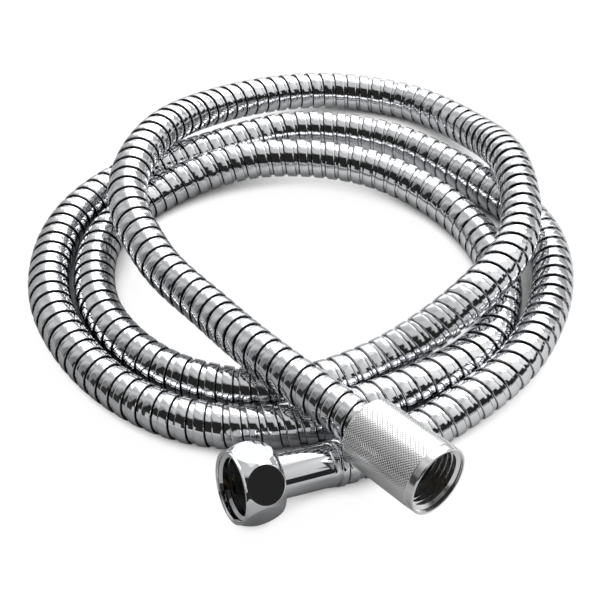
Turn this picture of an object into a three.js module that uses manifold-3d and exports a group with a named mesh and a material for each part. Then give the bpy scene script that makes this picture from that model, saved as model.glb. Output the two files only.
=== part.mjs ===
// A chromed metal shower hose lying in a loose coil: a strip-wound casing over a flexible liner,
// with a hexagon union nut on one end and a long knurled union nut on the other.
// Millimetres, +Z up, origin on the resting surface below the middle of the coil.
import * as THREE from 'three';
import { mergeVertices } from 'three/addons/utils/BufferGeometryUtils.js';
import Module from 'manifold-3d';

const wasm = await Module();
wasm.setup();

// Gaps between pieces
const seatGap = 0.3; // faces that bear on each other
const slideGap = 0.35; // round faces that turn on or slip over each other
const flangeGap = 0.3; // the flange and washer inside the thread

// Hose
const casingDiameter = 15;
const casingWall = 1.1;
const casingSides = 12;
const linerDiameter = 10.4;
const linerWall = 1.2;
const linerSides = 8;
const hoseSteps = 80;

// Pipe thread G 1/2 in both nuts
const threadMinorRadius = 9.32;
const threadMouthRadius = 10.4;
const nutSides = 40;
const innerSides = 24;

// Pieces alike at both ends
const flangeThickness = 2;
const washerThickness = 2;
const washerHoleRadius = 5;
const neckRadius = 6.2;
const waterwayRadius = 2.4;
const barbStep = 0.25;
const barbPitch = 3.2;
const barbCount = 4;
const barbCrest = 0.4;
const clampWall = 0.6;
const clampLength = 3.4;

// Hexagon nut
const hexAcrossFlats = 23;
const hexWidestRadius = 13.05;
const hexRimRadius = 11.45;
const hexLength = 13.5;
const hexWidestFromRear = 6.65;
const hexFlatReach = 6.2; // each flat is a disc of about this radius
const hexWeb = 2.2;
const hexRearRound = 0.5;
const hexRimRound = 0.3;
const hexTurn = 13.7; // degrees about its own axis, as it lies
const hexBarrelSteps = 8;

// Collar behind the hexagon nut
const hexCollarLength = 23.9;
const hexCollarRadius = 7.1;
const hexCollarNeck = 6.5; // how far the nipple's neck reaches into it
const lipRadius = 7.7;
const lipLength = 2.3;
const grooveLength = 0.8;
const grooveDepth = 0.2;
const beadLength = 2;
const beadHeight = 0.2;

// Knurled nut
const knurledLength = 30.1;
const knurledMouthRadius = 11.5;
const knurledRearRadius = 11.3;
const knurledBand = 3;
const knurledBandStep = 0.15;
const knurledEdgeRound = 0.4;
const knurledThreadDepth = 14;
const knurledRearCover = 10; // how far it reaches back over the casing

// Collar inside the knurled nut
const knurledCollarWall = 0.45;
const knurledSocketDepth = 5;
const knurledCollarNeck = 2;

// Route of the hose's middle line, from its end in the knurled nut to its end in the collar
const hoseRoute = [
  [26.9, -99.7, 26.2],
  [20.2, -92.3, 25.4],
  [-11.0, -59.7, 23.3],
  [-30.4, -33.3, 18.6],
  [-52.4, -5.5, 18.9],
  [-65.5, 28.6, 22.7],
  [-56.2, 65.1, 23.2],
  [-29.2, 97.8, 14.7],
  [8.0, 114.2, 9.3],
  [44.7, 108.3, 7.8],
  [69.1, 83.3, 11.6],
  [80.6, 45.3, 22.8],
  [78.7, 3.0, 23.9],
  [59.6, -26.7, 20.7],
  [26.7, -46.7, 9.0],
  [-8.9, -59.5, 7.7],
  [-45.9, -50.5, 7.7],
  [-71.1, -21.5, 7.7],
  [-75.0, 15.5, 7.7],
  [-55.9, 45.1, 8.0],
  [-19.4, 61.6, 11.8],
  [23.7, 58.6, 11.3],
  [56.7, 36.8, 8.2],
  [72.4, 1.6, 7.7],
  [65.8, -34.2, 7.7],
  [38.6, -59.1, 9.6],
  [-1.4, -74.5, 8.3],
  [-37.5, -73.6, 8.6],
  [-69.0, -52.1, 7.8],
  [-89.7, -17.4, 8.2],
  [-90.8, 21.5, 7.7],
  [-72.5, 52.1, 7.7],
  [-37.4, 73.6, 7.7],
  [-1.4, 86.7, 8.5],
  [36.8, 79.7, 8.0],
  [67.6, 54.9, 7.7],
  [89.8, 24.8, 7.9],
  [90.6, -11.6, 9.8],
  [73.8, -49.5, 11.8],
  [45.3, -73.5, 7.9],
  [22.6, -85.9, 7.7],
  [16.4, -89.1, 7.9],
  [12.0, -91.2, 8.8],
];

// Sizes that follow from the driving ones
const casingRadius = casingDiameter / 2;
const linerRadius = linerDiameter / 2;
const barbRadius = (linerRadius - linerWall) * Math.cos(Math.PI / linerSides) - seatGap;
const barbLength = barbPitch * barbCount;
const flangeRadius = threadMinorRadius - flangeGap;
const socketRadius = casingRadius + slideGap;
const collarBoreRadius = neckRadius + slideGap;
const knurledCollarRadius = socketRadius + knurledCollarWall;

const hexNutRear = hexCollarLength + seatGap;
const hexMouth = hexNutRear + hexLength;
const hexFlangeRear = hexNutRear + hexWeb + seatGap;
const hexNeckRear = hexCollarLength - hexCollarNeck;

const knurledNutRear = -knurledRearCover;
const knurledMouth = knurledNutRear + knurledLength;
const knurledShoulder = knurledMouth - knurledThreadDepth;
const knurledFlangeRear = knurledShoulder + seatGap;
const knurledCollarFront = knurledFlangeRear - seatGap;
const knurledNeckRear = knurledCollarFront - knurledCollarNeck;

// Materials
function metal(color, roughness) {
  return new THREE.MeshStandardMaterial({ color, roughness, metalness: 1 });
}

function soft(color, roughness) {
  return new THREE.MeshStandardMaterial({ color, roughness, metalness: 0 });
}

function piece(name, geometry, material) {
  const mesh = new THREE.Mesh(geometry, material);
  mesh.name = name;
  return mesh;
}

// A closed outline of [radius, height] points turned about Z: outer wall upward, inner wall downward
function turned(outline, sides) {
  const points = [...outline, outline[0]].map(([radius, height]) => new THREE.Vector2(radius, height));
  return new THREE.LatheGeometry(points, sides).rotateX(Math.PI / 2);
}

// A plain ring with square edges
function ring(innerRadius, outerRadius, bottom, top) {
  return turned([
    [outerRadius, bottom],
    [outerRadius, top],
    [innerRadius, top],
    [innerRadius, bottom],
  ], innerSides);
}

function toSolid(geometry) {
  const bare = geometry.clone();
  bare.deleteAttribute('normal');
  bare.deleteAttribute('uv');
  const merged = mergeVertices(bare);
  return new wasm.Manifold(new wasm.Mesh({
    numProp: 3,
    vertProperties: new Float32Array(merged.attributes.position.array),
    triVerts: new Uint32Array(merged.index.array),
  }));
}

function toGeometry(solid) {
  const { vertProperties, triVerts } = solid.getMesh();
  const geometry = new THREE.BufferGeometry();
  geometry.setAttribute('position', new THREE.BufferAttribute(vertProperties, 3));
  geometry.setIndex(new THREE.BufferAttribute(triVerts, 1));
  return geometry;
}

// Hose: a many-sided tube swept along the route
function polygon(target, radius, sides) {
  for (let side = 0; side < sides; side += 1) {
    const angle = (2 * Math.PI * side) / sides;
    const x = radius * Math.cos(angle);
    const y = radius * Math.sin(angle);
    if (side === 0) target.moveTo(x, y);
    else target.lineTo(x, y);
  }
  target.closePath();
  return target;
}

function sweptTube(points, radius, wall, sides) {
  const section = polygon(new THREE.Shape(), radius, sides);
  section.holes.push(polygon(new THREE.Path(), radius - wall, sides));
  const path = new THREE.CatmullRomCurve3(points, false, 'catmullrom');
  return new THREE.ExtrudeGeometry(section, { steps: hoseSteps, extrudePath: path });
}

// Barbed nipple: its flange is what the nut pulls on, its tail sits in the liner
function nipple(neckRear, flangeRear) {
  const tip = neckRear - barbLength;
  const flangeFront = flangeRear + flangeThickness;
  const outline = [[waterwayRadius, tip]];
  for (let barb = 0; barb < barbCount; barb += 1) {
    const foot = tip + barb * barbPitch;
    outline.push([barbRadius - barbStep, foot]);
    outline.push([barbRadius, foot + barbPitch - barbCrest]);
  }
  outline.push([barbRadius - barbStep, neckRear]);
  outline.push([neckRadius, neckRear]);
  outline.push([neckRadius, flangeRear]);
  outline.push([flangeRadius, flangeRear]);
  outline.push([flangeRadius, flangeFront]);
  outline.push([waterwayRadius, flangeFront]);
  return turned(outline, innerSides);
}

function washer(flangeRear) {
  const bottom = flangeRear + flangeThickness + seatGap;
  return ring(washerHoleRadius, flangeRadius, bottom, bottom + washerThickness);
}

function clampRing(neckRear) {
  const innerRadius = linerRadius + seatGap;
  const top = neckRear - 2 * seatGap;
  return ring(innerRadius, innerRadius + clampWall, top - clampLength, top);
}

// Hexagon nut: a barrel-shaped body cut by six flats, open and threaded at its mouth
function barrelRadius(height) {
  const drop = hexWidestRadius - hexAcrossFlats / 2;
  return hexWidestRadius - drop * ((height - hexWidestFromRear) / hexFlatReach) ** 2;
}

function hexNut() {
  const outline = [];
  const barrelTop = hexWidestFromRear + hexFlatReach;
  for (let step = 0; step <= hexBarrelSteps; step += 1) {
    const height = hexRearRound + ((barrelTop - hexRearRound) * step) / hexBarrelSteps;
    outline.push([barrelRadius(height), hexNutRear + height]);
  }
  outline.unshift([barrelRadius(0) - hexRearRound, hexNutRear]);
  outline.push([hexRimRadius, hexMouth - hexRimRound]);
  outline.push([hexRimRadius - hexRimRound, hexMouth]);
  outline.push([threadMouthRadius, hexMouth]);
  outline.push([threadMinorRadius, hexMouth - (threadMouthRadius - threadMinorRadius)]);
  outline.push([threadMinorRadius, hexNutRear + hexWeb]);
  outline.push([collarBoreRadius, hexNutRear + hexWeb]);
  outline.push([collarBoreRadius, hexNutRear]);
  const cornerRadius = hexAcrossFlats / 2 / Math.cos(Math.PI / 6);
  const prism = new THREE.CylinderGeometry(cornerRadius, cornerRadius, 2 * hexLength, 6);
  prism.rotateX(Math.PI / 2);
  prism.rotateZ(THREE.MathUtils.degToRad(hexTurn));
  prism.translate(0, 0, hexNutRear + hexLength / 2);
  return toGeometry(toSolid(turned(outline, nutSides)).intersect(toSolid(prism)));
}

// Collar behind the hexagon nut: a lip against the casing's end, a groove, a bead and a smooth barrel
function hexCollar() {
  const lipTop = seatGap + lipLength;
  const grooveTop = lipTop + grooveLength;
  const beadTop = grooveTop + beadLength;
  return turned([
    [lipRadius, seatGap],
    [lipRadius, lipTop],
    [hexCollarRadius - grooveDepth, lipTop],
    [hexCollarRadius - grooveDepth, grooveTop],
    [hexCollarRadius + beadHeight, grooveTop],
    [hexCollarRadius + beadHeight, beadTop],
    [hexCollarRadius, beadTop],
    [hexCollarRadius, hexCollarLength],
    [collarBoreRadius, hexCollarLength],
    [collarBoreRadius, seatGap],
  ], nutSides);
}

// Knurled nut: a long taper with a plain band at its mouth, loose on the collar inside it
function knurledNut() {
  const boreRadius = knurledCollarRadius + slideGap;
  const bandFoot = knurledMouth - knurledBand;
  return turned([
    [boreRadius, knurledNutRear],
    [knurledRearRadius - knurledEdgeRound, knurledNutRear],
    [knurledRearRadius, knurledNutRear + knurledEdgeRound],
    [knurledMouthRadius, bandFoot],
    [knurledMouthRadius - knurledBandStep, bandFoot],
    [knurledMouthRadius - knurledBandStep, knurledMouth - knurledEdgeRound],
    [knurledMouthRadius - knurledBandStep - knurledEdgeRound, knurledMouth],
    [threadMouthRadius, knurledMouth],
    [threadMinorRadius, knurledMouth - (threadMouthRadius - threadMinorRadius)],
    [threadMinorRadius, knurledShoulder],
    [boreRadius, knurledShoulder],
  ], nutSides);
}

function knurledCollar() {
  return turned([
    [socketRadius, -knurledSocketDepth],
    [knurledCollarRadius, -knurledSocketDepth],
    [knurledCollarRadius, knurledCollarFront],
    [collarBoreRadius, knurledCollarFront],
    [collarBoreRadius, seatGap],
    [socketRadius, seatGap],
  ], nutSides);
}

// A group whose +Z leaves the hose along its end, with +X as near to upward as it can be
function endGroup(tip, outward) {
  const upward = new THREE.Vector3(0, 0, 1).addScaledVector(outward, -outward.z).normalize();
  const sideways = new THREE.Vector3().crossVectors(outward, upward);
  const group = new THREE.Group();
  group.position.copy(tip);
  group.quaternion.setFromRotationMatrix(new THREE.Matrix4().makeBasis(upward, sideways, outward));
  return group;
}

const chrome = metal(0xd9dbdd, 0.08);
const hoseSteel = metal(0xcfd1d4, 0.14);
const brass = metal(0xb8964e, 0.3);
const rubber = soft(0x1b1b1c, 0.7);
const linerPlastic = soft(0x3a3c3f, 0.6);

const route = hoseRoute.map(([x, y, z]) => new THREE.Vector3(x, y, z));
const knurledOut = route[0].clone().sub(route[1]).normalize();
const hexOut = route.at(-1).clone().sub(route.at(-2)).normalize();
const linerRoute = [
  route[0].clone().addScaledVector(knurledOut, knurledNeckRear - seatGap),
  ...route,
  route.at(-1).clone().addScaledVector(hexOut, hexNeckRear - seatGap),
];

const hose = new THREE.Group();
hose.add(piece('hose_casing', sweptTube(route, casingRadius, casingWall, casingSides), hoseSteel));
hose.add(piece('hose_liner', sweptTube(linerRoute, linerRadius, linerWall, linerSides), linerPlastic));

const hexEnd = endGroup(route.at(-1), hexOut);
hexEnd.add(piece('hex_nut', hexNut(), chrome));
hexEnd.add(piece('hex_end_collar', hexCollar(), chrome));
hexEnd.add(piece('hex_end_nipple', nipple(hexNeckRear, hexFlangeRear), brass));
hexEnd.add(piece('hex_end_clamp_ring', clampRing(hexNeckRear), brass));
hexEnd.add(piece('hex_end_washer', washer(hexFlangeRear), rubber));
hose.add(hexEnd);

const knurledEnd = endGroup(route[0], knurledOut);
knurledEnd.add(piece('knurled_nut', knurledNut(), chrome));
knurledEnd.add(piece('knurled_end_collar', knurledCollar(), chrome));
knurledEnd.add(piece('knurled_end_nipple', nipple(knurledNeckRear, knurledFlangeRear), brass));
knurledEnd.add(piece('knurled_end_clamp_ring', clampRing(knurledNeckRear), brass));
knurledEnd.add(piece('knurled_end_washer', washer(knurledFlangeRear), rubber));
hose.add(knurledEnd);

export default hose;
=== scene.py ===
# A chromed metal shower hose in a loose coil, with its two union nuts, on a white studio floor.
import math

import bmesh
import bpy
import numpy as np
from mathutils import Matrix, Vector


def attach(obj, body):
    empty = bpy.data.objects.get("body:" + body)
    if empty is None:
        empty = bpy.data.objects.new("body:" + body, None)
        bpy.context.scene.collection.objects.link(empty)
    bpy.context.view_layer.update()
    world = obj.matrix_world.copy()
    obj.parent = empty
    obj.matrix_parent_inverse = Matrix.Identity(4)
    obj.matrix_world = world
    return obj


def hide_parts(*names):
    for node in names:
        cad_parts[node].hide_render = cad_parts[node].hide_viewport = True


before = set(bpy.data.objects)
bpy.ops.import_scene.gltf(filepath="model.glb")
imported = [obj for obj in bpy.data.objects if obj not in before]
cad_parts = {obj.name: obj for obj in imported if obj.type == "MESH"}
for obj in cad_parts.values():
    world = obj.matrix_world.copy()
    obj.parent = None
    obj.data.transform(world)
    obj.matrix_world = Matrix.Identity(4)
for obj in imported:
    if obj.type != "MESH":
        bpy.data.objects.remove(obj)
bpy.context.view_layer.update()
mm = 0.001
print("frame loaded with", len(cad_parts), "nodes")

# Camera: in front of the two nuts, looking down on the coil
photoView = {
    "target": Vector((-0.4, -7.6, 0.1)) * mm,
    "distance": 0.475,
    "elevation": 43.5,
    "fieldOfView": 26.19,
    "sensor": 36,
    "clip": (0.01, 20),
}


def makeCamera():
    camera = bpy.data.objects.new("photoCamera", bpy.data.cameras.new("photoCamera"))
    bpy.context.scene.collection.objects.link(camera)
    tilt = math.radians(photoView["elevation"])
    back = Vector((0, -math.cos(tilt), math.sin(tilt)))
    camera.location = photoView["target"] + back * photoView["distance"]
    camera.rotation_euler = (math.radians(90) - tilt, 0, 0)
    halfAngle = math.radians(photoView["fieldOfView"] / 2)
    camera.data.sensor_width = photoView["sensor"]
    camera.data.lens = photoView["sensor"] / 2 / math.tan(halfAngle)
    camera.data.clip_start, camera.data.clip_end = photoView["clip"]
    bpy.context.scene.camera = camera


makeCamera()
print("camera placed")

# Hose: its middle line from the knurled nut to the collar behind the hexagon nut
hoseRoute = [
    (0.0269, -0.0997, 0.0262),
    (0.0202, -0.0923, 0.0254),
    (-0.0110, -0.0597, 0.0233),
    (-0.0304, -0.0333, 0.0186),
    (-0.0524, -0.0055, 0.0189),
    (-0.0655, 0.0286, 0.0227),
    (-0.0562, 0.0651, 0.0232),
    (-0.0292, 0.0978, 0.0147),
    (0.0080, 0.1142, 0.0093),
    (0.0447, 0.1083, 0.0078),
    (0.0691, 0.0833, 0.0116),
    (0.0806, 0.0453, 0.0228),
    (0.0787, 0.0030, 0.0239),
    (0.0596, -0.0267, 0.0207),
    (0.0267, -0.0467, 0.0090),
    (-0.0089, -0.0595, 0.0077),
    (-0.0459, -0.0505, 0.0077),
    (-0.0711, -0.0215, 0.0077),
    (-0.0750, 0.0155, 0.0077),
    (-0.0559, 0.0451, 0.0080),
    (-0.0194, 0.0616, 0.0118),
    (0.0237, 0.0586, 0.0113),
    (0.0567, 0.0368, 0.0082),
    (0.0724, 0.0016, 0.0077),
    (0.0658, -0.0342, 0.0077),
    (0.0386, -0.0591, 0.0096),
    (-0.0014, -0.0745, 0.0083),
    (-0.0375, -0.0736, 0.0086),
    (-0.0690, -0.0521, 0.0078),
    (-0.0897, -0.0174, 0.0082),
    (-0.0908, 0.0215, 0.0077),
    (-0.0725, 0.0521, 0.0077),
    (-0.0374, 0.0736, 0.0077),
    (-0.0014, 0.0867, 0.0085),
    (0.0368, 0.0797, 0.0080),
    (0.0676, 0.0549, 0.0077),
    (0.0898, 0.0248, 0.0079),
    (0.0906, -0.0116, 0.0098),
    (0.0738, -0.0495, 0.0118),
    (0.0453, -0.0735, 0.0079),
    (0.0226, -0.0859, 0.0077),
    (0.0164, -0.0891, 0.0079),
    (0.0120, -0.0912, 0.0088),
]
hoseSizes = {
    "radius": 7.5 * mm,
    "pitch": 5.6 * mm,
    "steps": 24,
    "pointsPerSpan": 80,
    # one wrap of the strip: share of the pitch, depth in millimetres, and the darkness of the painted shade
    # in the groove between wraps
    "profile": [
        (0.000, 1.20, 1.0), (0.008, 0.55, 1.0), (0.018, 0.22, 0.7), (0.042, 0.06, 0.1), (0.085, 0.00, 0.0),
        (0.330, 0.00, 0.0), (0.560, 0.00, 0.0), (0.620, 0.04, 0.0), (0.645, 0.16, 0.2), (0.651, 0.70, 1.0),
        (0.664, 0.70, 1.0), (0.680, 0.66, 0.0), (0.945, 0.74, 0.0), (0.962, 1.20, 1.0), (1.000, 1.20, 1.0),
    ],
    "bandShare": 0.65,  # where the wide band ends
    "tailShare": 0.315,  # the lower tail that follows it
    "bandGive": 0.1,  # how much of a bend the band takes up
    "leastTail": 0.04,  # what stays in sight of a tail on the inner side
    "wrapsBefore": 2,
    "wrapsAfter": 1,
    "mergeWithin": 0.01 * mm,
    "sharpAngle": 35,
}


def catmullRom(before, start, end, after, u):
    return 0.5 * (
        (-u + 2 * u**2 - u**3) * before
        + (2 - 5 * u**2 + 3 * u**3) * start
        + (u + 4 * u**2 - 3 * u**3) * end
        + (-(u**2) + u**3) * after
    )


def routeLine(route, pointsPerSpan):
    points = [Vector(p) for p in route]
    points = [2 * points[0] - points[1], *points, 2 * points[-1] - points[-2]]
    line = []
    for span in range(len(points) - 3):
        for step in range(pointsPerSpan):
            line.append(catmullRom(*points[span : span + 4], step / pointsPerSpan))
    return np.array([*line, points[-2]])


def unit(rows):
    return rows / np.linalg.norm(rows, axis=-1, keepdims=True)


# Distance along the line, and at each point its bend and two directions across it that never twist
def lineFrames(line):
    along = np.concatenate([[0], np.cumsum(np.linalg.norm(np.diff(line, axis=0), axis=1))])
    tangent = unit(np.gradient(line, along, axis=0))
    bend = np.gradient(tangent, along, axis=0)
    across = [np.cross(tangent[0], (0, 0, 1))]
    for direction in tangent[1:]:
        across.append(across[-1] - direction * (across[-1] @ direction))
        across[-1] = across[-1] / np.linalg.norm(across[-1])
    across = unit(np.array(across))
    return {"along": along, "bend": bend, "across": across, "beside": np.cross(tangent, across)}


def meshPoints(mesh):
    flat = np.empty(len(mesh.vertices) * 3)
    mesh.vertices.foreach_get("co", flat)
    return flat.reshape(-1, 3)


def newObject(name, bm):
    mesh = bpy.data.meshes.new(name)
    bm.to_mesh(mesh)
    bm.free()
    thing = bpy.data.objects.new(name, mesh)
    bpy.context.scene.collection.objects.link(thing)
    return thing


# Spin leaves its faces in another order each run, so they are sorted by their corners
def sortFaces(bm):
    bm.verts.index_update()
    count = len(bm.verts)
    corners = {face: [corner.index for corner in face.verts] for face in bm.faces}
    bm.faces.sort(key=lambda face: min(corners[face]) * count + max(corners[face]))


def applyModifiers(thing):
    graph = bpy.context.evaluated_depsgraph_get()
    finished = bpy.data.meshes.new_from_object(thing.evaluated_get(graph))
    thing.modifiers.clear()
    thing.data = finished


# What lies past a plane goes, and the cut is closed
def cutOff(bm, place, normal):
    geometry = [*bm.verts, *bm.edges, *bm.faces]
    cut = bmesh.ops.bisect_plane(bm, geom=geometry, plane_co=place, plane_no=normal, clear_outer=True)
    rim = [part for part in cut["geom_cut"] if isinstance(part, bmesh.types.BMEdge)]
    bmesh.ops.holes_fill(bm, edges=rim, sides=0)


# One wrap is spun, copied along a straight line, and cut square at both ends
def straightCasing(length):
    bm = bmesh.new()
    radius, pitch, steps = (hoseSizes[key] for key in ("radius", "pitch", "steps"))
    before, after = hoseSizes["wrapsBefore"], hoseSizes["wrapsAfter"]
    line = [
        bm.verts.new((radius - depth * mm, 0, (share - before) * pitch))
        for share, depth, paintedShade in hoseSizes["profile"]
    ]
    edges = [bm.edges.new(pair) for pair in zip(line, line[1:])]
    rise = (0, 0, pitch / steps)
    bmesh.ops.spin(bm, geom=line + edges, axis=(0, 0, 1), dvec=rise, angle=2 * math.pi, steps=steps)
    sortFaces(bm)
    casing = newObject("hoseCasing", bm)
    copies = casing.modifiers.new("wraps", "ARRAY")
    copies.use_relative_offset = False
    copies.use_constant_offset = True
    copies.constant_offset_displace = (0, 0, pitch)
    copies.count = math.ceil(length / pitch) + before + after
    copies.use_merge_vertices = True
    copies.merge_threshold = hoseSizes["mergeWithin"]
    applyModifiers(casing)
    bm = bmesh.new()
    bm.from_mesh(casing.data)
    bmesh.ops.remove_doubles(bm, verts=bm.verts, dist=hoseSizes["mergeWithin"])
    cutOff(bm, Vector((0, 0, 0)), Vector((0, 0, -1)))
    cutOff(bm, Vector((0, 0, length)), Vector((0, 0, 1)))
    bmesh.ops.recalc_face_normals(bm, faces=bm.faces)
    bm.to_mesh(casing.data)
    bm.free()
    return casing


# In a bend the bands keep nearly their width, and the tails slide out from under the next wrap or back
def bentShare(part, stretch):
    bandShare, tailShare = hoseSizes["bandShare"], hoseSizes["tailShare"]
    gap = 1 - bandShare - tailShare
    band = bandShare + hoseSizes["bandGive"] * (stretch - 1)
    tail = np.maximum(stretch - band - gap, hoseSizes["leastTail"])
    onBand = part / bandShare * band
    onTail = band + (part - bandShare) / tailShare * tail
    inGap = band + tail + (part - bandShare - tailShare)
    moved = np.where(part <= bandShare, onBand, np.where(part <= bandShare + tailShare, onTail, inGap))
    whole = band + tail + gap
    return moved / whole, band / whole


# Rows that belong to points of the line, read at other distances along it
def rowsAt(heights, frames, rows):
    return np.stack([np.interp(heights, frames["along"], rows[:, k]) for k in range(3)], axis=1)


# The straight casing is laid along the route
def layAlong(casing, frames, line):
    points = meshPoints(casing.data)
    radius, pitch, bandShare = (hoseSizes[key] for key in ("radius", "pitch", "bandShare"))
    out = np.hypot(points[:, 0], points[:, 1])
    turn = np.arctan2(points[:, 1], points[:, 0])
    bend, across, beside = (
        rowsAt(points[:, 2], frames, frames[key]) for key in ("bend", "across", "beside")
    )
    outward = across * np.cos(turn)[:, None] + beside * np.sin(turn)[:, None]
    stretch = 1 - radius * (bend * outward).sum(axis=1)
    # where the point lies in its own wrap, and where the bend moves it
    wrap = points[:, 2] / pitch - turn / (2 * math.pi)
    part = wrap - np.floor(wrap)
    moved, bandPart = bentShare(part, stretch)
    shift = (moved - part - (bandPart - bandShare) / 2) * pitch
    height = np.clip(points[:, 2] + shift, 0, frames["along"][-1])
    laid = rowsAt(height, frames, line) + outward * out[:, None]
    # painted shade: each point gets the darkness painted into the groove between wraps
    shares = [row[0] for row in hoseSizes["profile"]]
    paintedShade = [row[2] for row in hoseSizes["profile"]]
    grooveShade = casing.data.attributes.new("grooveShade", "FLOAT", "POINT")
    grooveShade.data.foreach_set("value", np.interp(part, shares, paintedShade))
    casing.data.vertices.foreach_set("co", laid.ravel())
    casing.data.update()


def shadeSmooth(thing, sharpAngle):
    thing.data.polygons.foreach_set("use_smooth", [True] * len(thing.data.polygons))
    thing.data.set_sharp_from_angle(angle=math.radians(sharpAngle))


hoseLine = routeLine(hoseRoute, hoseSizes["pointsPerSpan"])
hoseFrames = lineFrames(hoseLine)
hoseLength = float(hoseFrames["along"][-1])
hoseCasing = straightCasing(hoseLength)
layAlong(hoseCasing, hoseFrames, hoseLine)
shadeSmooth(hoseCasing, hoseSizes["sharpAngle"])
print("hose casing:", round(hoseLength, 3), "m,", len(hoseCasing.data.polygons), "faces")


# Fittings: each end has its own frame, with Z out of the hose and X as near to upward as it can be
def endFrame(tip, inner):
    outward = (Vector(tip) - Vector(inner)).normalized()
    upward = (Vector((0, 0, 1)) - outward * outward.z).normalized()
    turned = Matrix((upward, outward.cross(upward), outward)).transposed().to_4x4()
    return Matrix.Translation(tip) @ turned


knurledEnd = endFrame(hoseRoute[0], hoseRoute[1])
hexEnd = endFrame(hoseRoute[-1], hoseRoute[-2])
# in millimetres
threadSizes = {
    "rootRadius": 10.48,
    "crestRadius": 9.34,
    "pitch": 1.814,
    "crestShare": 0.14,
    "foot": 0.1,  # how far a ridge's foot goes into the wall
    "steps": 48,
    # crest faces get a painted highlight, and bore faces the bore's duller plating painted near-black as
    # painted shade inside the hole
    "crestWithin": 0.05,  # faces this near to the crest's radius are bright
    "darkWithin": 0.2,  # and those up to this far outside the root's radius dark
}
mergeWithin = 0.001 * mm


# A closed outline of (radius, height) in millimetres, spun about Z
def spinOutline(bm, outline, steps):
    corners = [bm.verts.new((radius * mm, 0, height * mm)) for radius, height in outline]
    edges = [bm.edges.new(pair) for pair in zip(corners, corners[1:] + corners[:1])]
    bmesh.ops.spin(
        bm, geom=corners + edges, axis=(0, 0, 1), angle=2 * math.pi, steps=steps, use_merge=True
    )
    sortFaces(bm)
    bmesh.ops.remove_doubles(bm, verts=bm.verts, dist=mergeWithin)
    bmesh.ops.recalc_face_normals(bm, faces=bm.faces)


def roundEdges(bm, edges, width, segments):
    bmesh.ops.bevel(
        bm, geom=edges, offset=width * mm, offset_type="OFFSET", segments=segments,
        profile=0.5, affect="EDGES", material=-1, clamp_overlap=True,
    )


def sharpEdges(bm, angle):
    return [edge for edge in bm.edges if edge.is_manifold and edge.calc_face_angle() > math.radians(angle)]


# The ridge of the inside thread, a closed screw that stands on the bore's wall
def addThread(bm, bottom, top):
    crest, pitch, steps = (threadSizes[key] for key in ("crestRadius", "pitch", "steps"))
    foot = threadSizes["rootRadius"] + threadSizes["foot"]
    half, tip = 0.5 * pitch, 0.5 * threadSizes["crestShare"] * pitch
    start = bottom + half
    section = [(foot, -half), (foot, half), (crest, tip), (crest, -tip)]
    corners = [bm.verts.new((radius * mm, 0, (start + height) * mm)) for radius, height in section]
    edges = [bm.edges.new(pair) for pair in zip(corners, corners[1:] + corners[:1])]
    count = math.floor((top - bottom - pitch) / pitch * steps)
    bmesh.ops.spin(
        bm, geom=corners + edges, axis=(0, 0, 1), dvec=(0, 0, pitch * mm / steps),
        angle=2 * math.pi * count / steps, steps=count,
    )
    sortFaces(bm)
    bmesh.ops.holes_fill(bm, edges=[edge for edge in bm.edges if edge.is_boundary], sides=0)
    bmesh.ops.recalc_face_normals(bm, faces=bm.faces)


def finishPiece(name, bm, place, sharpAngle):
    bmesh.ops.transform(bm, matrix=place, verts=bm.verts)
    thing = newObject(name, bm)
    shadeSmooth(thing, sharpAngle)
    return thing


# The bore gets the second material, its duller plating painted near-black as painted shade inside the hole,
# and the crests of its thread the third, painted lighter as a painted highlight
def markBore(bm):
    for face in bm.faces:
        middle = face.calc_center_median()
        out = math.hypot(middle.x, middle.y) / mm
        onCrest = abs(out - threadSizes["crestRadius"]) < threadSizes["crestWithin"]
        inBore = out < threadSizes["rootRadius"] + threadSizes["darkWithin"]
        face.material_index = int(inBore) + int(onCrest)


# in millimetres and degrees; a barrel, widest at widestAt, is cut by the six flats
hexSizes = {
    "rear": 24.2, "length": 13.5, "web": 2.2, "webHole": 6.55, "threadFrom": 1,
    "acrossFlats": 23, "widest": 13.05, "widestAt": 6.65, "flatReach": 6.2, "rim": 11.45,
    "turn": 13.7, "barrelSteps": 20, "steps": 120,
    "mouthRadius": 10.95, "leadIn": 10.65, "leadInTop": 0.25, "leadInFoot": 0.1, "mouthDepth": 0.5,
    "rimAngle": 40, "rimEdge": 0.3, "rimSegments": 3, "flatEdge": 0.1, "flatSegments": 2,
    "plainCorners": 12, "sharpAngle": 20,
}


def hexBarrel(height):
    drop = hexSizes["widest"] - hexSizes["acrossFlats"] / 2
    return hexSizes["widest"] - drop * ((height - hexSizes["widestAt"]) / hexSizes["flatReach"]) ** 2


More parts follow.
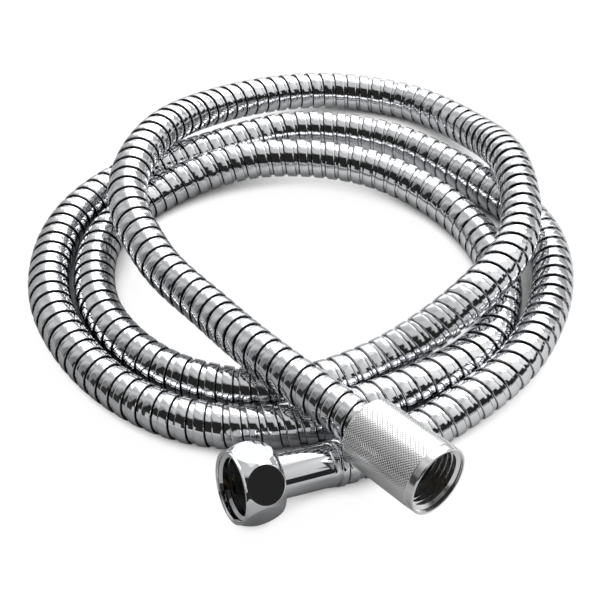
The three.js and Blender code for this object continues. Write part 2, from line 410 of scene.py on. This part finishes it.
def makeHexNut():
    sizes = hexSizes
    rear, top = sizes["rear"], sizes["rear"] + sizes["length"]
    barrelTop = sizes["widestAt"] + sizes["flatReach"]
    heights = [barrelTop * step / sizes["barrelSteps"] for step in range(sizes["barrelSteps"] + 1)]
    outline = [(hexBarrel(height), rear + height) for height in heights]
    outline += [
        (sizes["rim"], top),
        (sizes["mouthRadius"], top),
        (sizes["leadIn"], top - sizes["leadInTop"]),
        (sizes["leadIn"], top - sizes["mouthDepth"] + sizes["leadInFoot"]),
        (threadSizes["rootRadius"], top - sizes["mouthDepth"]),
        (threadSizes["rootRadius"], rear + sizes["web"]),
        (sizes["webHole"], rear + sizes["web"]),
        (sizes["webHole"], rear),
    ]
    bm = bmesh.new()
    spinOutline(bm, outline, sizes["steps"])
    roundEdges(bm, sharpEdges(bm, sizes["rimAngle"]), sizes["rimEdge"], sizes["rimSegments"])
    for side in range(6):
        angle = math.radians(sizes["turn"] + 60 * side)
        normal = Vector((math.cos(angle), math.sin(angle), 0))
        cutOff(bm, normal * sizes["acrossFlats"] / 2 * mm, normal)
    # only the flats have more than a few corners
    flats = [face for face in bm.faces if len(face.verts) > sizes["plainCorners"]]
    flatEdges = [edge for face in flats for edge in face.edges]
    roundEdges(bm, flatEdges, sizes["flatEdge"], sizes["flatSegments"])
    addThread(bm, rear + sizes["web"] + sizes["threadFrom"], top - sizes["mouthDepth"])
    markBore(bm)
    return finishPiece("hexNut", bm, hexEnd, sizes["sharpAngle"])


# Lip against the hose's end, groove, bead, and a smooth barrel up to the nut: (radius, height)
collarSizes = {
    "steps": 96,
    "sharpAngle": 50,
    "outline": [
        (6.55, 0.3), (7.45, 0.3), (7.64, 0.38), (7.72, 0.57), (7.74, 1.4), (7.72, 2.3), (7.64, 2.5),
        (7.45, 2.6), (6.9, 2.62), (6.9, 3.38), (7.14, 3.42), (7.28, 3.6), (7.33, 4.0), (7.33, 4.6),
        (7.28, 5.1), (7.15, 5.38), (7.1, 5.6), (7.1, 23.65), (7.03, 23.83), (6.85, 23.9), (6.55, 23.9),
    ],
}


def makeHexCollar():
    bm = bmesh.new()
    spinOutline(bm, collarSizes["outline"], collarSizes["steps"])
    return finishPiece("hexCollar", bm, hexEnd, collarSizes["sharpAngle"])


# in millimetres and degrees; rearEdge, bandGroove and mouthEdge are steps of (radius, height)
# from the rear end, the foot of the plain band and the mouth
knurledSizes = {
    "rear": -10, "length": 30.1, "mouthRadius": 11.5, "rearRadius": 11.3, "bandStep": 0.15, "band": 3,
    "shoulder": 6.1, "bore": 8.65, "threadFrom": 0.8,
    "mouthHole": 10.95, "leadIn": 10.6, "leadInTop": 0.12, "leadInFoot": 0.1, "mouthDepth": 0.6,
    "rearEdge": [(-0.3, 0), (-0.1, 0.3)],
    "bandGroove": [(-0.12, 0.02), (-0.12, 0.3), (0, 0.42)],
    "mouthEdge": [(0, -0.45), (-0.13, -0.13), (-0.35, 0)],
    "around": 132, "knurlRows": 50, "knurlDepth": 0.1, "plainRear": 0.8, "wallFrom": 10.6, "sharpAngle": 14,
}


def makeKnurledNut():
    sizes = knurledSizes
    rear, mouth = sizes["rear"], sizes["rear"] + sizes["length"]
    bandFoot, knurlFoot = mouth - sizes["band"], rear + sizes["plainRear"]
    bandRadius = sizes["mouthRadius"] - sizes["bandStep"]
    rowHeight = (bandFoot - knurlFoot) / sizes["knurlRows"]
    taper = (sizes["mouthRadius"] - sizes["rearRadius"]) / (bandFoot - rear)
    outline = [(sizes["rearRadius"] + out, rear + up) for out, up in sizes["rearEdge"]]
    for row in range(sizes["knurlRows"] + 1):
        height = knurlFoot + row * rowHeight
        outline.append((sizes["rearRadius"] + taper * (height - rear), height))
    outline += [(bandRadius + out, bandFoot + up) for out, up in sizes["bandGroove"]]
    outline += [(bandRadius + out, mouth + up) for out, up in sizes["mouthEdge"]]
    outline += [
        (sizes["mouthHole"], mouth),
        (sizes["leadIn"], mouth - sizes["leadInTop"]),
        (sizes["leadIn"], mouth - sizes["mouthDepth"] + sizes["leadInFoot"]),
        (threadSizes["rootRadius"], mouth - sizes["mouthDepth"]),
        (threadSizes["rootRadius"], sizes["shoulder"]),
        (sizes["bore"], sizes["shoulder"]),
        (sizes["bore"], rear),
    ]
    bm = bmesh.new()
    spinOutline(bm, outline, sizes["around"])
    cutKnurl(bm, knurlFoot, rowHeight)
    addThread(bm, sizes["shoulder"] + sizes["threadFrom"], mouth - sizes["mouthDepth"])
    markBore(bm)
    return finishPiece("knurledNut", bm, knurledEnd, sizes["sharpAngle"])


# Every other corner of the wall's grid is sunk, and each face is folded between its two sunk corners
def cutKnurl(bm, foot, rowHeight):
    sizes = knurledSizes
    sunk = set()
    wall = set()
    for corner in bm.verts:
        row = (corner.co.z / mm - foot) / rowHeight
        onRow = abs(row - round(row)) < 0.01 and 0 <= round(row) <= sizes["knurlRows"]
        if not onRow or math.hypot(corner.co.x, corner.co.y) < sizes["wallFrom"] * mm:
            continue
        column = round(math.atan2(corner.co.y, corner.co.x) / (2 * math.pi) * sizes["around"])
        wall.add(corner)
        if (column + round(row)) % 2:
            sunk.add(corner)
    for face in [face for face in bm.faces if all(corner in wall for corner in face.verts)]:
        low = [corner for corner in face.verts if corner in sunk]
        if len(low) == 2:
            bmesh.utils.face_split(face, low[0], low[1])
    for corner in sunk:
        out = Vector((corner.co.x, corner.co.y, 0)).normalized()
        corner.co -= out * sizes["knurlDepth"] * mm


hexNut = makeHexNut()
hexCollar = makeHexCollar()
knurledNut = makeKnurledNut()
print("fittings made")


# Materials
def newMaterial(name):
    material = bpy.data.materials.new(name)
    material.use_nodes = True
    nodes = material.node_tree.nodes
    return material, material.node_tree, nodes["Principled BSDF"]


def link(tree, source, target):
    tree.links.new(source, target)


finishLooks = {
    "hoseChrome": {"color": (0.86, 0.87, 0.89), "roughness": 0.075, "grain": 700, "bump": 0.03},
    "nutChrome": {"color": (0.86, 0.87, 0.89), "roughness": 0.035, "grain": 400, "bump": 0.02},
    # the knurled nut's chrome is painted brighter than the other chrome, a painted highlight that makes the
    # knurl read light
    "knurlChromeHighlight": {"color": (0.98, 0.98, 0.98), "roughness": 0.17, "grain": 900, "bump": 0.03},
    # the bore's duller plating is painted near-black as painted shade inside the hole, and the thread
    # crests lighter as a painted highlight
    "paintedShadeBore": {"color": (0.12, 0.11, 0.10), "roughness": 0.25, "grain": 900, "bump": 0.1},
    "paintedHighlightCrest": {"color": (0.55, 0.54, 0.52), "roughness": 0.2, "grain": 900, "bump": 0.05},
    "fittingBrass": {"color": (0.62, 0.47, 0.22), "roughness": 0.35, "grain": 500, "bump": 0.1},
}
softLooks = {
    "washerRubber": {"color": (0.02, 0.02, 0.02), "roughness": 0.6, "grain": 1500, "bump": 0.3},
    "linerPlastic": {"color": (0.1, 0.1, 0.11), "roughness": 0.5, "grain": 800, "bump": 0.15},
}

# how far the grain moves the roughness, and its height in metres
grainReach = {"roughness": (0.7, 1.4), "height": 0.0001}
# the painted shade in the groove begins and is whole at these values of the groove attribute, and its
# colour is that of the painted shade
paintedGrooveShade = {"begins": 0.2, "whole": 0.9, "color": (0.05, 0.05, 0.055)}


def makeGrainGroup():
    group = bpy.data.node_groups.new("metalGrain", "ShaderNodeTree")
    side = group.interface
    side.new_socket("Vector", in_out="INPUT", socket_type="NodeSocketVector")
    for name in ("Scale", "Roughness", "Depth"):
        side.new_socket(name, in_out="INPUT", socket_type="NodeSocketFloat")
    side.new_socket("Roughness", in_out="OUTPUT", socket_type="NodeSocketFloat")
    side.new_socket("Normal", in_out="OUTPUT", socket_type="NodeSocketVector")
    nodes = group.nodes
    entry, leave = nodes.new("NodeGroupInput"), nodes.new("NodeGroupOutput")
    cloud = nodes.new("ShaderNodeTexNoise")
    spread = nodes.new("ShaderNodeMapRange")
    product = nodes.new("ShaderNodeMath")
    bump = nodes.new("ShaderNodeBump")
    product.operation = "MULTIPLY"
    for name, number in zip(("To Min", "To Max"), grainReach["roughness"]):
        spread.inputs[name].default_value = number
    bump.inputs["Distance"].default_value = grainReach["height"]
    link(group, entry.outputs["Vector"], cloud.inputs["Vector"])
    link(group, entry.outputs["Scale"], cloud.inputs["Scale"])
    link(group, cloud.outputs["Fac"], spread.inputs["Value"])
    link(group, spread.outputs["Result"], product.inputs[0])
    link(group, entry.outputs["Roughness"], product.inputs[1])
    link(group, product.outputs["Value"], leave.inputs["Roughness"])
    link(group, cloud.outputs["Fac"], bump.inputs["Height"])
    link(group, entry.outputs["Depth"], bump.inputs["Strength"])
    link(group, bump.outputs["Normal"], leave.inputs["Normal"])
    return group


grainGroup = makeGrainGroup()


def grainyMaterial(name, look, metallic):
    material, tree, shader = newMaterial(name)
    shader.inputs["Base Color"].default_value = (*look["color"], 1)
    shader.inputs["Metallic"].default_value = metallic
    place = tree.nodes.new("ShaderNodeTexCoord")
    grain = tree.nodes.new("ShaderNodeGroup")
    grain.node_tree = grainGroup
    grain.inputs["Scale"].default_value = look["grain"]
    grain.inputs["Roughness"].default_value = look["roughness"]
    grain.inputs["Depth"].default_value = look["bump"]
    link(tree, place.outputs["Object"], grain.inputs["Vector"])
    link(tree, grain.outputs["Roughness"], shader.inputs["Roughness"])
    link(tree, grain.outputs["Normal"], shader.inputs["Normal"])
    return material


# Painted shade: the groove between wraps is painted dark, standing in for the shade in its recess
def hoseMaterial():
    look = finishLooks["hoseChrome"]
    material = grainyMaterial("hoseChrome", look, 1)
    tree = material.node_tree
    grooveShade = tree.nodes.new("ShaderNodeAttribute")
    grooveShade.attribute_name = "grooveShade"
    shade = tree.nodes.new("ShaderNodeValToRGB")
    plain, dark = shade.color_ramp.elements
    plain.position, plain.color = paintedGrooveShade["begins"], (*look["color"], 1)
    dark.position, dark.color = paintedGrooveShade["whole"], (*paintedGrooveShade["color"], 1)
    link(tree, grooveShade.outputs["Fac"], shade.inputs["Fac"])
    link(tree, shade.outputs["Color"], tree.nodes["Principled BSDF"].inputs["Base Color"])
    return material


hoseChrome = hoseMaterial()
nutChrome, knurlChromeHighlight, paintedShadeBore, paintedHighlightCrest, fittingBrass = (
    grainyMaterial(name, finishLooks[name], 1)
    for name in ("nutChrome", "knurlChromeHighlight", "paintedShadeBore", "paintedHighlightCrest", "fittingBrass")
)
washerRubber, linerPlastic = (grainyMaterial(name, look, 0) for name, look in softLooks.items())


def dress(thing, *materials):
    thing.data.materials.clear()
    for material in materials:
        thing.data.materials.append(material)


dress(hoseCasing, hoseChrome)
dress(hexCollar, nutChrome)
dress(hexNut, nutChrome, paintedShadeBore, paintedHighlightCrest)
dress(knurledNut, knurlChromeHighlight, paintedShadeBore, paintedHighlightCrest)
nodeLooks = {
    "hose_liner": linerPlastic,
    "hex_end_nipple": fittingBrass,
    "hex_end_clamp_ring": fittingBrass,
    "hex_end_washer": washerRubber,
    "knurled_end_collar": nutChrome,
    "knurled_end_nipple": fittingBrass,
    "knurled_end_clamp_ring": fittingBrass,
    "knurled_end_washer": washerRubber,
}
for nodeName, material in nodeLooks.items():
    dress(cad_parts[nodeName], material)
print("materials made")

# Bodies and replaced nodes; the slot column is listed but nothing uses it
for thing, body, node, slot in (
    (hoseCasing, "hose", "hose_casing", "hose_metal"),
    (hexCollar, "hose", "hex_end_collar", "chrome"),
    (hexNut, "hex_union", "hex_nut", "chrome"),
    (knurledNut, "knurled_union", "knurled_nut", "knurled_chrome"),
):
    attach(thing, body)
    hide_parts(node)

# Studio: a floor that looks white, and a room that only reflections see
studio = {
    "floorSize": 6,
    "floorWhite": 0.88,
    "floorGlow": 1.1,
    "floorColor": 0.9,
    "floorRoughness": 0.9,
    # painted light and shade on the floor: how bright reflections see the floor, by compass direction in
    # degrees from +X towards +Y
    "paintedFloorLight": [
        (0, 1), (30, 1), (60, 0.95), (90, 0.95), (115, 0.8), (130, 0.65),
        (180, 0.5), (205, 0.48), (240, 0.52), (270, 0.6), (300, 0.8), (320, 1),
    ],
    # painted shadow under the coil: within near of the middle the floor is painted darker by this tint,
    # fading out by far
    "paintedShadeUnderCoil": {"near": 0.09, "far": 0.16, "paintedFloorTint": 0.95},
    # a gap between two strands is dark where little light gets in
    "gap": {"reach": 0.02, "dark": 0.12, "open": 0.42},
    # brightness of the walls by compass direction
    "walls": [
        (0, 0.92), (15, 0.95), (27, 0.88), (32, 0.5), (62, 0.5), (66, 0.65), (108, 0.85), (120, 0.6),
        (130, 0.48), (140, 0.52), (150, 0.62), (160, 0.58), (170, 0.4), (180, 0.32), (200, 0.22),
        (240, 0.15), (290, 0.2), (300, 0.5), (315, 0.64), (335, 0.7), (350, 0.82),
    ],
    # towards the horizon the walls are this much darker
    "lowWalls": {"level": 0.6, "fullRise": 25},
    # panels and dark openings: compass range, height range above the horizon, brightness, softness
    "patches": [
        {"name": "ceiling", "compass": (-20, 380), "rise": (68, 110), "level": 0.6, "soft": 14},
        {"name": "backCeiling", "compass": (50, 112), "rise": (60, 84), "level": 0.9, "soft": 6},
        {"name": "backWall", "compass": (65, 116), "rise": (-20, 28), "level": 1.15, "soft": 3},
        {"name": "panel", "compass": (30, 107), "rise": (30, 65), "level": 2.6, "soft": 3},
        {"name": "panelSide", "compass": (28.6, 30), "rise": (28.6, 65), "level": 0.12, "soft": 0.8},
        {"name": "panelFoot", "compass": (28.6, 107), "rise": (28.6, 30), "level": 0.12, "soft": 0.8},
        {"name": "leftGrey", "compass": (170, 197), "rise": (12, 44), "level": 0.21, "soft": 4},
        {"name": "frontLow", "compass": (196, 298), "rise": (-3, 24), "level": 0.52, "soft": 2},
        {"name": "cameraDark", "compass": (240, 292), "rise": (9, 66), "level": 0.02, "soft": 2},
        {"name": "cameraLeft", "compass": (198, 241), "rise": (25, 62), "level": 0.02, "soft": 2},
        {"name": "middleDark", "compass": (291, 304), "rise": (0, 42), "level": 0.02, "soft": 2},
        {"name": "doorDark", "compass": (303, 318), "rise": (-8, 26), "level": 0.02, "soft": 2},
        {"name": "windowDark", "compass": (317, 338), "rise": (8, 40), "level": 0.02, "soft": 2},
        {"name": "rightDark", "compass": (337, 361), "rise": (4, 27), "level": 0.02, "soft": 2},
        {"name": "farRightDark", "compass": (-1, 22), "rise": (-3, 14), "level": 0.03, "soft": 2},
        {"name": "leftDark", "compass": (186, 214), "rise": (0, 26), "level": 0.03, "soft": 1.5},
    ],
}


def mathNode(tree, operation, first, second=None):
    node = tree.nodes.new("ShaderNodeMath")
    node.operation = operation
    for socket, value in zip(node.inputs, (first, second)):
        if isinstance(value, (int, float)):
            socket.default_value = value
        elif value is not None:
            link(tree, value, socket)
    return node.outputs["Value"]


def mapRange(tree, value, source, target):
    node = tree.nodes.new("ShaderNodeMapRange")
    for name, number in zip(("From Min", "From Max", "To Min", "To Max"), (*source, *target)):
        node.inputs[name].default_value = number
    link(tree, value, node.inputs["Value"])
    return node.outputs["Result"]


def grey(tree, level):
    node = tree.nodes.new("ShaderNodeRGB")
    node.outputs["Color"].default_value = (level, level, level, 1)
    return node.outputs["Color"]


# Compass direction of a place or a ray as a share of a full turn
def compassTurns(tree, parts):
    angle = mathNode(tree, "ARCTAN2", parts.outputs["Y"], parts.outputs["X"])
    return mathNode(tree, "FRACT", mathNode(tree, "DIVIDE", angle, 2 * math.pi))


def compassRamp(tree, turns, levels):
    ramp = tree.nodes.new("ShaderNodeValToRGB")
    stops = ramp.color_ramp.elements
    first, last = stops
    first.position, last.position = 0, 1
    for stop in (first, last):
        stop.color = (levels[0][1],) * 3 + (1,)
    for degrees, level in levels[1:]:
        stops.new(degrees / 360).color = (level, level, level, 1)
    link(tree, turns, ramp.inputs["Fac"])
    return ramp.outputs["Color"]


# 1 between low and high, 0 outside, with a soft step at both
def window(tree, value, low, high, soft):
    distance = mathNode(tree, "ABSOLUTE", mathNode(tree, "SUBTRACT", value, (low + high) / 2))
    step = tree.nodes.new("ShaderNodeMapRange")
    step.interpolation_type = "SMOOTHSTEP"
    step.inputs["From Min"].default_value = (high - low) / 2 + soft / 2
    step.inputs["From Max"].default_value = (high - low) / 2 - soft / 2
    link(tree, distance, step.inputs["Value"])
    return step.outputs["Result"]


def mixNode(tree, factor, under, over):
    mix = tree.nodes.new("ShaderNodeMix")
    mix.data_type = "RGBA"
    sockets = [socket for socket in mix.inputs if socket.type == "RGBA"]
    link(tree, factor, mix.inputs["Factor"])
    link(tree, under, sockets[0])
    if isinstance(over, (int, float)):
        sockets[1].default_value = (over, over, over, 1)
    else:
        link(tree, over, sockets[1])
    return next(socket for socket in mix.outputs if socket.type == "RGBA")


def makeFloor():
    bm = bmesh.new()
    bmesh.ops.create_grid(bm, x_segments=1, y_segments=1, size=studio["floorSize"] / 2)
    floor = newObject("studioFloor", bm)
    material, tree, shader = newMaterial("floorWhite")
    nodes = tree.nodes
    place = nodes.new("ShaderNodeTexCoord")
    parts = nodes.new("ShaderNodeSeparateXYZ")
    link(tree, place.outputs["Object"], parts.inputs["Vector"])
    path = nodes.new("ShaderNodeLightPath")
    turns = compassTurns(tree, parts)
    distance = nodes.new("ShaderNodeVectorMath")
    distance.operation = "LENGTH"
    link(tree, place.outputs["Object"], distance.inputs[0])
    # the floor's colour for reflections carries painted shadow under the coil and painted light and shade
    # by compass direction
    under = studio["paintedShadeUnderCoil"]
    nearness = mapRange(tree, distance.outputs["Value"], (under["near"], under["far"]), (under["paintedFloorTint"], 1))
    paintedFloorTint = mixNode(tree, nearness, grey(tree, 0), compassRamp(tree, turns, studio["paintedFloorLight"]))
    paintedFloorTint = mixNode(tree, path.outputs["Is Camera Ray"], paintedFloorTint, grey(tree, studio["floorColor"]))
    link(tree, paintedFloorTint, shader.inputs["Base Color"])
    shader.inputs["Roughness"].default_value = studio["floorRoughness"]
    shader.inputs["Specular IOR Level"].default_value = 0
    # the camera sees the floor glow white, apart from narrow gaps and the shadow
    light = nodes.new("ShaderNodeAmbientOcclusion")
    light.inputs["Distance"].default_value = studio["gap"]["reach"]
    gap = (studio["gap"]["dark"], studio["gap"]["open"])
    glow = nodes.new("ShaderNodeEmission")
    link(tree, mapRange(tree, light.outputs["AO"], gap, (0, studio["floorGlow"])), glow.inputs["Strength"])
    mix = nodes.new("ShaderNodeMixShader")
    share = mathNode(tree, "MULTIPLY", path.outputs["Is Camera Ray"], studio["floorWhite"])
    link(tree, share, mix.inputs["Fac"])
    link(tree, shader.outputs["BSDF"], mix.inputs[1])
    link(tree, glow.outputs["Emission"], mix.inputs[2])
    link(tree, mix.outputs["Shader"], nodes["Material Output"].inputs["Surface"])
    dress(floor, material)


def makeWorld():
    world = bpy.data.worlds.new("studioRoom")
    bpy.context.scene.world = world
    world.use_nodes = True
    tree = world.node_tree
    nodes = tree.nodes
    place = nodes.new("ShaderNodeTexCoord")
    parts = nodes.new("ShaderNodeSeparateXYZ")
    link(tree, place.outputs["Generated"], parts.inputs["Vector"])
    turns = compassTurns(tree, parts)
    compass = mathNode(tree, "MULTIPLY", turns, 360)
    rise = mathNode(tree, "MULTIPLY", mathNode(tree, "ARCSINE", parts.outputs["Z"]), 180 / math.pi)
    walls = compassRamp(tree, turns, studio["walls"])
    lowWalls = studio["lowWalls"]
    height = mapRange(tree, rise, (0, lowWalls["fullRise"]), (lowWalls["level"], 1))
    room = mixNode(tree, height, grey(tree, 0), walls)
    for patch in studio["patches"]:
        across = window(tree, compass, *patch["compass"], patch["soft"])
        upward = window(tree, rise, *patch["rise"], patch["soft"])
        room = mixNode(tree, mathNode(tree, "MULTIPLY", across, upward), room, patch["level"])
    # the camera itself sees plain white
    path = nodes.new("ShaderNodeLightPath")
    room = mixNode(tree, path.outputs["Is Camera Ray"], room, grey(tree, 1))
    link(tree, room, nodes["Background"].inputs["Color"])


makeFloor()
makeWorld()
bpy.context.scene.view_settings.view_transform = "Standard"
print("studio ready")
